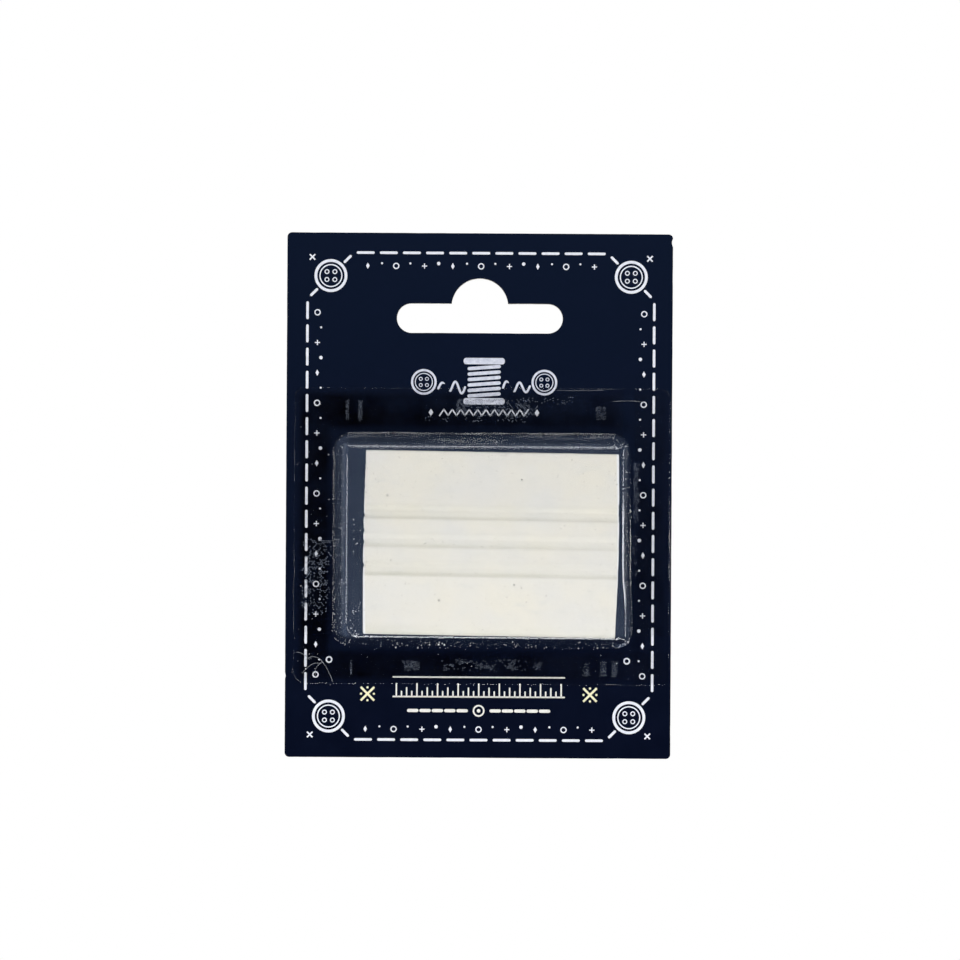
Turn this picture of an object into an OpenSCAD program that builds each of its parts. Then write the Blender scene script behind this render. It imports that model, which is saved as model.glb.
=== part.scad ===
// Tailor's chalk on its hanging card: a grooved chalk plate lies loose in a clear formed
// pocket whose flange is heat-sealed to the face of a printed card with a hang slot.
// X is to the right and Z is up. The front faces -Y. The origin is the middle of the hang
// slot, on the back of the card.

/* [Chalk plate] */
// Length of the chalk plate, end to end
chalk_w = 48.2; // [36:0.1:64]
// Height of the chalk plate, between its two marking edges
chalk_h = 35.2; // [26:0.1:46]
// Thickness over the flat middle band
chalk_t = 6.4; // [4.5:0.1:9]
// Thickness at the two rounded marking edges
edge_t = 2.2; // [1.2:0.1:3.2]
// How far the middle band lies above the centre line of the plate
band_shift = 0.6; // [-1.2:0.1:1.2]
// Flat strip left outside the outermost grooves
band_land = 0.2; // [0.1:0.05:1]

/* [Grip grooves] */
// Number of grooves on each face
groove_count = 3; // [1:1:3]
// Distance from one groove to the next
groove_pitch = 5.35; // [4:0.05:6]
// Width of one groove at the surface
groove_w = 2.7; // [1.6:0.1:3.4]
// Depth of one groove
groove_d = 0.25; // [0.15:0.05:0.6]

/* [Rest place of the loose chalk] */
// How far the chalk lies to the right of the middle of the pocket
rest_x = 1.75; // [-1.8:0.05:1.8]
// How far the chalk lies above the middle of the pocket
rest_z = -0.45; // [-0.8:0.05:0.8]
// How far the chalk has turned clockwise, in degrees
rest_turn = 0.7; // [-1:0.1:1]
// Air between the card and the chalk
chalk_gap = 0.2; // [0.1:0.05:0.4]

/* [Clear pocket] */
// Thickness of the clear film
film_t = 0.3; // [0.2:0.05:0.5]
// How much longer the flat front of the pocket is than the chalk
room_x = 3.1; // [2.5:0.1:8]
// How much higher the flat front of the pocket is than the chalk
room_z = 0.3; // [0.2:0.1:6]
// Air between the chalk and the flat front
room_front = 1.1; // [0.5:0.1:4]
// Lean of the side walls from square, in degrees
wall_lean = 10; // [5:1:15]
// Radius of the fold where the wall rises from the flange
foot_r = 1.2; // [0.8:0.1:1.8]
// Radius of the fold where the wall meets the flat front
rim_r = 1.2; // [0.8:0.1:1.8]
// Corner radius of the flat front
front_corner_r = 1.3; // [0.8:0.1:4]

/* [Flange and seal] */
// Width of the flange beside the pocket
flange_side = 7.65; // [5:0.05:14]
// Height of the flange above the pocket
flange_above = 8.7; // [5:0.1:16]
// Height of the flange below the pocket
flange_below = 7; // [5:0.1:16]
// Corner radius of the flange
flange_corner_r = 2.5; // [1:0.1:5]
// Thickness of the heat-seal lacquer under the flange
seal_t = 0.05; // [0.03:0.01:0.1]
// Distance from the lacquer ring to the flange edge
seal_outer_gap = 1.2; // [0.6:0.1:2]
// Distance from the lacquer ring to the foot of the pocket
seal_inner_gap = 1.2; // [0.6:0.1:2]

/* [Card] */
// Thickness of the card
card_t = 0.6; // [0.4:0.05:1.2]
// Corner radius of the card
card_corner_r = 0.9; // [0.5:0.1:5]
// Card showing to the left of the flange
card_left = 1.4; // [0.2:0.1:12]
// Card showing to the right of the flange
card_right = 0.2; // [0.2:0.1:12]
// Card above the hang slot
header_h = 13.7; // [10:0.1:30]
// Card between the hang slot and the flange
title_h = 10.5; // [4:0.1:30]
// Card below the flange
footer_h = 14.1; // [2:0.1:40]

/* [Hang slot] */
// Length of the hang slot with its round ends
slot_w = 32.2; // [24:0.1:40]
// Height of the straight part of the hang slot
slot_h = 5.7; // [4:0.1:8]
// Radius of the round arch over the middle of the slot
arch_r = 5.5; // [4.5:0.1:6.5]
// How far the centre of the arch lies below the top edge of the slot
arch_drop = 0.6; // [0:0.1:1.5]

/* [Hidden] */
$fn = 96;
// Facets along a round marking edge
edge_steps = 12;

// Heights over the back of the card, toward the viewer
card_front = card_t;
flange_back = card_front + seal_t;
chalk_back = card_front + chalk_gap;
chalk_mid = chalk_back + chalk_t / 2;
pocket_inside = chalk_back + chalk_t + room_front;
pocket_depth = pocket_inside - flange_back;

// The wall of the pocket, from the foot line on the flange to the edge of the flat front
wall_angle = 90 - wall_lean;
fold_rise = 1 - cos(wall_angle);
straight_rise = pocket_depth - (foot_r + rim_r) * fold_rise;
straight_run = straight_rise / tan(wall_angle);
wall_run = (foot_r + rim_r) * sin(wall_angle) + straight_run;

// Outlines of the pocket and the flange
front_w = chalk_w + room_x;
front_h = chalk_h + room_z;
foot_w = front_w + 2 * wall_run;
foot_h = front_h + 2 * wall_run;
foot_corner_r = front_corner_r + wall_run;
flange_w = foot_w + 2 * flange_side;
flange_h = foot_h + flange_above + flange_below;

// Outline of the card and the places on it
card_w = flange_w + card_left + card_right;
card_top = slot_h / 2 + header_h;
flange_top = -slot_h / 2 - title_h;
card_h = card_top - flange_top + flange_h + footer_h;
card_y = card_top - card_h / 2;
flange_x = card_left / 2 - card_right / 2;
flange_y = flange_top - flange_h / 2;
pocket_y = flange_top - flange_above - foot_h / 2;

// Section of the chalk: a flat band, two slopes and two round edges
band_h = (groove_count - 1) * groove_pitch + groove_w + 2 * band_land;
band_top = band_shift + band_h / 2;
band_bottom = band_shift - band_h / 2;
edge_r = edge_t / 2;
edge_y = chalk_h / 2 - edge_r;
groove_r = (pow(groove_w / 2, 2) + pow(groove_d, 2)) / (2 * groove_d);

// Stands a shape drawn flat on its back upright, facing the viewer
module upright() {
    rotate([90, 0, 0]) children();
}

module rounded_rect(w, h, r) {
    square([w - 2 * r, h], center = true);
    square([w, h - 2 * r], center = true);
    for (x = [-1, 1], y = [-1, 1]) {
        translate([x * (w / 2 - r), y * (h / 2 - r)]) circle(r);
    }
}

module hang_slot() {
    slot_r = slot_h / 2;
    square([slot_w - slot_h, slot_h], center = true);
    for (x = [-1, 1]) {
        translate([x * (slot_w / 2 - slot_r), 0]) circle(slot_r);
    }
    intersection() {
        translate([0, slot_r - arch_drop]) circle(arch_r);
        translate([-slot_w / 2, 0]) square([slot_w, slot_h + arch_r]);
    }
}

module backing_card() {
    color([0.05, 0.08, 0.15])
        upright()
            linear_extrude(card_t)
                difference() {
                    translate([0, card_y]) rounded_rect(card_w, card_h, card_corner_r);
                    hang_slot();
                }
}

module seal_ring() {
    outer_w = flange_w - 2 * seal_outer_gap;
    outer_h = flange_h - 2 * seal_outer_gap;
    inner_w = foot_w + 2 * seal_inner_gap;
    inner_h = foot_h + 2 * seal_inner_gap;
    color([0.45, 0.5, 0.6])
        upright()
            translate([0, 0, card_front])
                linear_extrude(seal_t)
                    difference() {
                        translate([flange_x, flange_y])
                            rounded_rect(outer_w, outer_h, flange_corner_r - seal_outer_gap / 2);
                        translate([flange_x, pocket_y])
                            rounded_rect(inner_w, inner_h, foot_corner_r + seal_inner_gap);
                    }
}

// Strip between two radii, from one angle to another less than a right angle on
module arc_strip(inner_r, outer_r, from, to) {
    reach = 2 * outer_r;
    intersection() {
        difference() {
            circle(outer_r);
            circle(inner_r);
        }
        polygon([
            [0, 0],
            [reach * cos(from), reach * sin(from)],
            [reach * cos(to), reach * sin(to)]
        ]);
    }
}

// Section of the wall film, with x counted from the axis of a pocket corner
module wall_section() {
    foot_centre = [foot_corner_r, film_t + foot_r];
    rim_centre = [front_corner_r, pocket_depth + film_t - rim_r];
    outward = [sin(wall_angle), cos(wall_angle)];
    foot_side = foot_centre - foot_r * outward;
    rim_side = rim_centre + rim_r * outward;
    translate(foot_centre) arc_strip(foot_r, foot_r + film_t, -90 - wall_angle, -90);
    translate(rim_centre) arc_strip(rim_r - film_t, rim_r, wall_lean, 90);
    polygon([
        foot_side,
        rim_side,
        rim_side - film_t * outward,
        foot_side - film_t * outward
    ]);
}

module pocket_walls() {
    corner_x = foot_w / 2 - foot_corner_r;
    corner_y = foot_h / 2 - foot_corner_r;
    for (x = [0, 1], y = [0, 1]) {
        mirror([x, 0, 0])
            mirror([0, y, 0])
                translate([corner_x, corner_y, 0])
                    rotate_extrude(angle = 90)
                        wall_section();
    }
    for (x = [0, 1]) {
        mirror([x, 0, 0])
            translate([corner_x, 0, 0])
                rotate([90, 0, 0])
                    linear_extrude(2 * corner_y, center = true)
                        wall_section();
    }
    for (y = [0, 1]) {
        mirror([0, y, 0])
            translate([0, corner_y, 0])
                rotate([90, 0, 90])
                    linear_extrude(2 * corner_x, center = true)
                        wall_section();
    }
}

module blister() {
    color([0.8, 0.85, 0.9, 0.35])
        upright()
            translate([flange_x, 0, flange_back])
                union() {
                    linear_extrude(film_t)
                        difference() {
                            translate([0, flange_y]) rounded_rect(flange_w, flange_h, flange_corner_r);
                            translate([0, pocket_y]) rounded_rect(foot_w, foot_h, foot_corner_r);
                        }
                    translate([0, pocket_y, 0]) pocket_walls();
                    translate([0, pocket_y, pocket_depth])
                        linear_extrude(film_t)
                            rounded_rect(front_w, front_h, front_corner_r);
                }
}

// Round marking edge of the plate, from the slope of one face to the slope of the other.
// band_y is the distance from the centre line to the corner where the slope begins.
function marking_edge(band_y) =
    let (run = edge_y - band_y, rise = chalk_t / 2)
    let (lean = atan2(rise, run) + acos(edge_r / norm([run, rise])) - 90)
    let (first = 90 - lean)
    [for (i = [0:edge_steps]) [
        edge_y + edge_r * cos(first - 2 * first * i / edge_steps),
        edge_r * sin(first - 2 * first * i / edge_steps)
    ]];

module chalk_section() {
    upper = marking_edge(band_top);
    lower = marking_edge(-band_bottom);
    difference() {
        polygon(concat(
            [[band_top, chalk_t / 2]],
            upper,
            [[band_top, -chalk_t / 2], [band_bottom, -chalk_t / 2]],
            [for (p = lower) [-p[0], -p[1]]],
            [[band_bottom, chalk_t / 2]]
        ));
        for (face = [-1, 1], i = [0:groove_count - 1]) {
            groove_y = band_shift + (i - (groove_count - 1) / 2) * groove_pitch;
            translate([groove_y, face * (chalk_t / 2 + groove_r - groove_d)]) circle(groove_r);
        }
    }
}

module chalk() {
    color([0.92, 0.91, 0.88])
        upright()
            translate([flange_x + rest_x, pocket_y + rest_z, chalk_mid])
                rotate([0, 0, -rest_turn])
                    rotate([90, 0, 90])
                        linear_extrude(chalk_w, center = true)
                            chalk_section();
}

backing_card();
seal_ring();
blister();
chalk();
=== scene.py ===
# A chalk plate in a clear pocket on a printed hanging card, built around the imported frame
import math
import bmesh
import bpy
import numpy as np
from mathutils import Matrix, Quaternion, Vector
from mathutils.geometry import tessellate_polygon


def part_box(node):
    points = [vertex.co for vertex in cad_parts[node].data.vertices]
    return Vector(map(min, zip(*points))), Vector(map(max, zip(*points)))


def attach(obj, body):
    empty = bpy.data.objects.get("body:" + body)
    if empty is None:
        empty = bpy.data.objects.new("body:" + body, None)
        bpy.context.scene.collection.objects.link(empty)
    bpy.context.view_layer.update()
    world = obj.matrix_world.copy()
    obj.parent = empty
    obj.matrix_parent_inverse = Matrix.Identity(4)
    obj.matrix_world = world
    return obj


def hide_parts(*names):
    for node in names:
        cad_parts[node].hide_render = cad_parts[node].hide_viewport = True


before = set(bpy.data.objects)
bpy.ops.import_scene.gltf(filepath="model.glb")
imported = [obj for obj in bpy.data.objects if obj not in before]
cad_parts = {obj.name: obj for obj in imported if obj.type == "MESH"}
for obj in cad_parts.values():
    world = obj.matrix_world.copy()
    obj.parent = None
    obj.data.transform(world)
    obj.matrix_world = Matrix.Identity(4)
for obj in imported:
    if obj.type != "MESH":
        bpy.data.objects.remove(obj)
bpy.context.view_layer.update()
MM = 0.001
NOISE_CELLS = 32

# Sizes read from the frame, in millimetres
card_lo, card_hi = (np.array(v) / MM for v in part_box("backing_card"))
film_lo, film_hi = (np.array(v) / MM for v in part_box("blister"))
chalk_lo, chalk_hi = (np.array(v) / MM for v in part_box("chalk"))
CARD_LEFT, CARD_FRONT, CARD_BOTTOM = card_lo
CARD_RIGHT, _, CARD_TOP = card_hi
FLANGE_X, _, FLANGE_Z = (film_lo + film_hi) / 2
FLANGE_HALF_W, _, FLANGE_HALF_H = (film_hi - film_lo) / 2
FLANGE_BACK = film_hi[1]
POCKET_FRONT = film_lo[1]
CHALK_X, CHALK_Y, CHALK_Z = (chalk_lo + chalk_hi) / 2

# Sizes of the formed film, in millimetres, and for each side in the order left, right, top, bottom
FILM_T = 0.3
CUT_EDGE_T = 0.04
CUT_EDGE_SHARE = 0.014
SEAL_GAP = 0.012
FLANGE_CORNER = 2.5
FOOT_R = 0.45
POCKET_Z = -43.163
FOOT_HALF_W = 29.013
FOOT_HALF_H = 21.113
FOOT_CORNER = 3.7
FRONT_CORNER = 1.3
RIM_R = (1.7, 1.2, 1.7, 1.8)
WALL_RUN = (4.2, 2.91, 3.9, 3.84)
FRONT_SAG = 0.22
BULGE = 0.55

# The flange and the pocket's foot as rectangles: middle along and up, half width, half height
FLANGE = (FLANGE_X, FLANGE_Z, FLANGE_HALF_W, FLANGE_HALF_H)
FOOT = (FLANGE_X, POCKET_Z, FOOT_HALF_W, FOOT_HALF_H)

# Sizes of the chalk plate, in millimetres
CHALK_W = 48.2
CHALK_H = 35.2
CHALK_HALF_T = 3.2
EDGE_R = 1.1
BAND = (-6.3, 7.5)
GROOVES = (5.95, 0.6, -4.75)
GROOVE_W = 2.7
GROOVE_D = 0.27
GROOVE_BREAK = 0.46
BAND_MIDDLE = 0.6
CROWN_R = 53.0
TOP_EDGE_R = 0.35
END_WEAR = 0.22
CHALK_TURN = math.radians(0.7)

# Each groove from the top down: painted shade in its lower lip, and a stain above the lip that is partly
# painted shade dimming the groove's lit side
LIP_SHADE = (0.13, 0.16, 0.34)
STAIN_AND_SHADE = (0.28, 0.1, 0.17)

# Dark specks on the chalk: along, up, radius in millimetres, and how dark
SPECKS = ((5.8, 12.4, 0.17, 0.9), (4.4, -7.5, 0.18, 0.9), (-9.8, -10.7, 0.32, 0.4), (-19.6, 9.0, 0.32, 0.3))

# Sizes of the card and its hang slot, in millimetres
CARD_CORNER = 0.9
CARD_RIM = 0.07
SLOT_W = 32.2
SLOT_H = 5.7
ARCH_R = 5.5
ARCH_Z = 2.25

# Thickness of the ink, and the layers on the card's face as front and back distance from it
INK_T = 0.014
THICK_INK_T = 0.016
LACQUER = (0.044, 0.036)
PRESSED = (0.055, 0.048)
CREASED = (0.054, 0.048)
LACQUER_MARGIN = 1.2
LACQUER_OUTER_R = 1.9
LACQUER_INNER_R = 5.863

# The camera, in millimetres and degrees
CAMERA_PLACE = (0.21, -214.6, -31.38)
CAMERA_LENS = 41.33
CAMERA_ROLL = -0.33

# The floor, in millimetres
FLOOR_R = 150
FLOOR_FADE = 60
FLOOR_DROP = 135

# The six corners of a grain of dust, and its faces by their numbers
CORNERS = ((1, 0, 0), (-1, 0, 0), (0, 1, 0), (0, -1, 0), (0, 0, 1), (0, 0, -1))
OCTAHEDRON = ((0, 2, 4), (2, 1, 4), (1, 3, 4), (3, 0, 4), (2, 0, 5), (1, 2, 5), (3, 1, 5), (0, 3, 5))


def stack(*columns):
    return np.column_stack(columns)


def grown(rectangle, by):
    x, z, half_w, half_h = rectangle
    return x, z, half_w + by, half_h + by


# Smooth noise from -1 to 1 with features of the given size
def smooth_noise(points, size, seed):
    table = np.random.default_rng(seed).uniform(-1, 1, (NOISE_CELLS,) * 3)
    q = np.asarray(points, float) / size
    cell = np.floor(q).astype(int)
    part = q - cell
    part = part * part * (3 - 2 * part)
    total = np.zeros(len(q))
    for corner in np.ndindex(2, 2, 2):
        weight = np.prod([part[:, k] if corner[k] else 1 - part[:, k] for k in range(3)], axis=0)
        index = [(cell[:, k] + corner[k]) % NOISE_CELLS for k in range(3)]
        total += weight * table[index[0], index[1], index[2]]
    return total


# Sharp creases from 0 to 1 with features of the given size
def creases(points, size, seed):
    return (1 - np.abs(smooth_noise(points, size, seed))) ** 3


# Goes smoothly from 0 at the low value to 1 at the high one
def step(value, low, high):
    t = np.clip((np.asarray(value, float) - low) / (high - low), 0, 1)
    return t * t * (3 - 2 * t)


def new_object(name, data):
    obj = bpy.data.objects.new(name, data)
    bpy.context.scene.collection.objects.link(obj)
    return obj


# A mesh piece from points in millimetres, with points closer than the given distance joined
def mesh_piece(name, points, faces, mat, smooth=False, apart=0.0):
    mesh = bpy.data.meshes.new(name)
    mesh.from_pydata((np.asarray(points, float) * MM).tolist(), [], faces)
    mesh.validate()
    work = bmesh.new()
    work.from_mesh(mesh)
    bmesh.ops.recalc_face_normals(work, faces=work.faces[:])
    if apart:
        bmesh.ops.remove_doubles(work, verts=work.verts[:], dist=apart * MM)
        bmesh.ops.dissolve_degenerate(work, edges=work.edges[:], dist=apart * MM / 4)
        bmesh.ops.recalc_face_normals(work, faces=work.faces[:])
    work.to_mesh(mesh)
    work.free()
    mesh.polygons.foreach_set("use_smooth", [smooth] * len(mesh.polygons))
    mesh.materials.append(mat)
    mesh.update()
    return new_object(name, mesh)


# Adds a node, with its inputs given as values or as the sockets that feed them
def add(tree, kind, inputs=None, **settings):
    node = tree.nodes.new("ShaderNode" + kind)
    for key, value in settings.items():
        setattr(node, key, value)
    for key, value in (inputs or {}).items():
        if isinstance(value, bpy.types.NodeSocket):
            tree.links.new(value, node.inputs[key])
        else:
            node.inputs[key].default_value = value
    return node


def calc(tree, operation, first, second=0.0, clamp=False):
    inputs = {0: first, 1: second}
    return add(tree, "Math", inputs, operation=operation, use_clamp=clamp).outputs[0]


def plus(tree, first, second, clamp=False):
    return calc(tree, "ADD", first, second, clamp)


def minus(tree, first, second, clamp=False):
    return calc(tree, "SUBTRACT", first, second, clamp)


def times(tree, first, second):
    return calc(tree, "MULTIPLY", first, second)


# How far a value in metres lies from a place in millimetres, on either side
def away_from(tree, value, middle):
    return calc(tree, "ABSOLUTE", minus(tree, value, middle * MM))


# Takes values between low and high to the range given after them
def spread(tree, value, low, high, to_low=0.0, to_high=1.0):
    inputs = {"Value": value, "From Min": low, "From Max": high, "To Min": to_low, "To Max": to_high}
    return add(tree, "MapRange", inputs).outputs["Result"]


# The same for a value in metres with low and high in millimetres
def spread_mm(tree, value, low, high, to_low=0.0, to_high=1.0):
    return spread(tree, value, low * MM, high * MM, to_low, to_high)


# Goes from the first colour to the second with the share
def tint(tree, share, first, second):
    inputs = {0: share, 6: first, 7: second}
    return add(tree, "Mix", inputs, data_type="RGBA").outputs[2]


def tint_value(tree, share, first, second):
    inputs = {0: share, 2: first, 3: second}
    return add(tree, "Mix", inputs, data_type="FLOAT").outputs[0]


def mix(tree, share, first, second):
    return add(tree, "MixShader", {0: share, 1: first, 2: second}).outputs[0]


# Noise in object space with features of the given size in millimetres
def grain(tree, size, detail=2.0, rough=0.5, stretch=(1, 1, 1)):
    place = add(tree, "TexCoord").outputs["Object"]
    scaled = add(tree, "Mapping", {"Vector": place, "Scale": stretch}).outputs[0]
    inputs = {"Vector": scaled, "Scale": 1 / (size * MM), "Detail": detail, "Roughness": rough}
    return add(tree, "TexNoise", inputs).outputs[0]


def place_axis(tree, axis):
    place = add(tree, "TexCoord").outputs["Object"]
    return add(tree, "SeparateXYZ", {0: place}).outputs[axis]


def bump(tree, height, distance, strength=1.0):
    inputs = {"Height": height, "Distance": distance * MM, "Strength": strength}
    return add(tree, "Bump", inputs).outputs[0]


def new_material(name):
    mat = bpy.data.materials.new(name)
    mat.use_nodes = True
    mat.node_tree.nodes.clear()
    return mat, mat.node_tree


# Ends a material with its shader
def end_with(mat, shader):
    add(mat.node_tree, "OutputMaterial", {"Surface": shader})
    return mat


# Ends a material with a principled shader
def end_surface(mat, inputs):
    return end_with(mat, add(mat.node_tree, "BsdfPrincipled", inputs).outputs[0])


# Linear colour from the usual 0 to 255 values
def paint(red, green, blue):
    share = [v / 255 for v in (red, green, blue)]
    linear = [v / 12.92 if v <= 0.04045 else ((v + 0.055) / 1.055) ** 2.4 for v in share]
    return (*linear, 1.0)


# Places on the chalk's face: along its width, and up from its middle
def chalk_places(tree):
    along = minus(tree, place_axis(tree, 0), CHALK_X * MM)
    height = minus(tree, place_axis(tree, 2), CHALK_Z * MM)
    return along, plus(tree, height, times(tree, along, math.tan(CHALK_TURN)))


# Share of painted shade and stain on the chalk: painted shade on the lower side of each groove, stains
# above that are partly painted shade, darker towards the lower rim, all stronger to the left
def chalk_dirt_and_shade(tree, along, v):
    total = spread_mm(tree, v, -15.0, -17.3, 0.0, 0.42)
    for g, lip, stain_shade in zip(GROOVES, LIP_SHADE, STAIN_AND_SHADE):
        above = minus(tree, v, (g - GROOVE_W / 2 + 0.32) * MM)
        upward = spread_mm(tree, above, 0.0, 1.6, 0.28, 0.0)
        total = plus(tree, times(tree, upward, spread_mm(tree, above, -0.75, 0.0)), total)
        total = plus(tree, spread_mm(tree, calc(tree, "ABSOLUTE", above), 0.6, 0.1, 0.0, lip), total)
        total = plus(tree, spread_mm(tree, away_from(tree, v, g + 0.75), 1.1, 0.3, 0.0, stain_shade), total)
    left = spread_mm(tree, along, 18, -16, 0.65, 1.0)
    patchy = spread(tree, grain(tree, 2.0, 4.0, 0.6, (0.3, 1, 1)), 0.3, 0.65, 0.45, 1.0)
    return times(tree, total, times(tree, left, patchy))


# Share of the small dark specks on the chalk
def chalk_specks(tree, along, v):
    total = 0.0
    for x, z, r, dark in SPECKS:
        across = minus(tree, along, x * MM)
        up = minus(tree, v, z * MM)
        away = calc(tree, "SQRT", plus(tree, times(tree, across, across), times(tree, up, up)))
        total = plus(tree, spread_mm(tree, away, r, 0.5 * r, 0.0, dark), total)
    return total


# Pressed mineral chalk: warm white, dull and powdery, with painted shade in the grooves and a painted
# highlight along its ends
def chalk_material():
    mat, tree = new_material("chalk_stone")
    cloud = spread(tree, grain(tree, 9.0, 3.0), 0.35, 0.68)
    warm = tint(tree, cloud, paint(236, 233, 224), paint(240, 235, 220))
    smudge = spread(tree, grain(tree, 1.3, 4.0, 0.6, (0.35, 1, 1)), 0.55, 0.75)
    mottled = tint(tree, times(tree, smudge, 0.4), warm, paint(222, 221, 213))
    along, v = chalk_places(tree)
    # Painted shade: darker at each groove's lower side and over a stain above it, and darker towards the
    # lower rim
    mottled = tint(tree, chalk_dirt_and_shade(tree, along, v), mottled, paint(196, 194, 172))
    end = CHALK_W / 2
    # Painted highlight: a bluish-white line along the plate's two ends
    end_highlight = spread_mm(tree, calc(tree, "ABSOLUTE", along), end - 0.4, end - 0.15)
    mottled = tint(tree, times(tree, end_highlight, 0.8), mottled, paint(253, 254, 255))
    fleck = spread(tree, grain(tree, 0.42, 1.0, 0.4), 0.73, 0.77)
    colour = tint(tree, times(tree, fleck, 0.6), mottled, paint(150, 142, 128))
    colour = tint(tree, chalk_specks(tree, along, v), colour, paint(70, 60, 48))
    powder = plus(tree, grain(tree, 0.22, 5.0, 0.65), grain(tree, 1.1, 2.0))
    inputs = {"Base Color": colour, "Roughness": 0.95, "Specular IOR Level": 0.2}
    inputs["Normal"] = bump(tree, powder, 0.03, 0.7)
    return end_surface(mat, inputs)


# Share from 0 outside a rectangle on the card to 1 inside it, over a soft border
def inside(tree, x, z, half_w, half_h, soft):
    across = spread_mm(tree, away_from(tree, place_axis(tree, 0), x), half_w, half_w - soft)
    up = spread_mm(tree, away_from(tree, place_axis(tree, 2), z), half_h, half_h - soft)
    return times(tree, across, up)


# How much darker the print looks where the lacquer has wetted it, in soft patches
def wet_share(tree):
    sealed = inside(tree, *grown(FLANGE, -0.8), 1.2)
    pocket = inside(tree, *grown(FOOT, 1.4), 1.6)
    left = spread_mm(tree, place_axis(tree, 0), 24, -26, 0.06, 0.65)
    patches = spread(tree, grain(tree, 7.0, 3.0, 0.6), 0.35, 0.65, -0.2, 0.35)
    return times(tree, plus(tree, left, patches, True), minus(tree, sealed, pocket, True))


# Coated board: dark print on the front with painted light making it lighter towards the top, pale pulp on
# the cut edges and the back
def board_material():
    mat, tree = new_material("card_board")
    front = spread_mm(tree, place_axis(tree, 1), CARD_FRONT + 0.09, CARD_FRONT + 0.05)
    # Painted light: the navy goes from darker at the card's bottom to lighter at its top
    painted_light_to_top = spread_mm(tree, place_axis(tree, 2), CARD_BOTTOM, CARD_TOP)
    cloud = spread(tree, grain(tree, 7.0, 3.0), 0.3, 0.7)
    deep = tint(tree, painted_light_to_top, paint(6, 11, 28), paint(14, 23, 41))
    navy = tint(tree, times(tree, cloud, 0.3), deep, paint(15, 22, 42))
    navy = tint(tree, wet_share(tree), navy, paint(0, 0, 4))
    fibre = spread(tree, grain(tree, 0.45, 4.0, 0.65, (1, 1, 0.55)), 0.3, 0.7)
    pulp = tint(tree, fibre, paint(212, 208, 199), paint(228, 225, 217))
    worn = spread(tree, grain(tree, 3.0, 4.0), 0.3, 0.7, 0.34, 0.46)
    tooth = plus(tree, grain(tree, 0.35, 3.0), times(tree, fibre, 0.5))
    inputs = {"Base Color": tint(tree, front, pulp, navy), "Specular IOR Level": 0.003}
    inputs["Roughness"] = tint_value(tree, front, 0.9, worn)
    inputs["Normal"] = bump(tree, tooth, 0.012, 0.5)
    return end_surface(mat, inputs)


# Flat screen-printed ink with a little body
def ink_material(name, colour, pale):
    mat, tree = new_material(name)
    wear = spread(tree, grain(tree, 0.7, 4.0, 0.6), 0.3, 0.75)
    inputs = {"Base Color": tint(tree, wear, pale, colour), "Roughness": 0.5}
    inputs["Normal"] = bump(tree, grain(tree, 0.3, 2.0), 0.008, 0.5)
    return end_surface(mat, inputs)


# Goes to the low value in a strip across the card and stays 1 outside it
def strip(tree, axis, middle, half, low):
    return spread_mm(tree, away_from(tree, place_axis(tree, axis), middle), half, half + 0.15, low)


# Share of light a clear skin mirrors: more when turned away, less where dusty or cut
def skin_share(tree):
    facing = add(tree, "LayerWeight", {"Blend": 0.5}).outputs["Facing"]
    share = spread(tree, calc(tree, "POWER", facing, 5.0), 0, 1, 0.04, 1.0)
    below = strip(tree, 2, POCKET_Z - 19.95, 1.5, 0.04)
    upper = spread_mm(tree, place_axis(tree, 2), -38, -34, 0.42, 0.12)
    beside = strip(tree, 0, FLANGE_X + 28.4, 1.05, upper)
    sheet = inside(tree, *grown(FLANGE, -0.2), 0.2)
    edge = spread_mm(tree, place_axis(tree, 0), 0, 12, 0.0, 0.15)
    cut = spread(tree, sheet, 0, 1, edge, 1.0)
    return times(tree, share, times(tree, cut, times(tree, below, beside)))


# How much more chalk haze each wall of the pocket holds than its flat front, partly painted light: far less
# on the shaded bottom wall, more on the top wall rising to the right, and more on the left wall
def wall_haze_and_light(tree):
    across, height = place_axis(tree, 0), place_axis(tree, 2)
    pocket = spread_mm(tree, place_axis(tree, 1), FLANGE_BACK - 0.4, FLANGE_BACK - 1.6)
    low_wall = spread_mm(tree, height, POCKET_Z - 18.2, POCKET_Z - 17.4, 0.15, 1.0)
    more = spread_mm(tree, across, -20, 20, 1.35, 1.9)
    top_wall = spread_mm(tree, height, POCKET_Z + 17.4, POCKET_Z + 18.2, 1.0, more)
    left_wall = spread_mm(tree, across, -24.3, -25.2, 1.0, 2.15)
    return times(tree, times(tree, pocket, left_wall), times(tree, low_wall, top_wall))


# The pale crumpled patch at the pocket's lower right corner
def crumple(tree):
    place = add(tree, "TexCoord").outputs["Object"]
    corner = (28.0 * MM, (FLANGE_BACK - 2.5) * MM, -62.5 * MM)
    away = add(tree, "VectorMath", {0: place, 1: corner}, operation="DISTANCE").outputs["Value"]
    crushed = spread(tree, grain(tree, 0.9, 3.0), 0.35, 0.65, 0.03, 0.2)
    return times(tree, crushed, spread_mm(tree, away, 1.2, 2.4, 1.0, 0.0))


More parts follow.
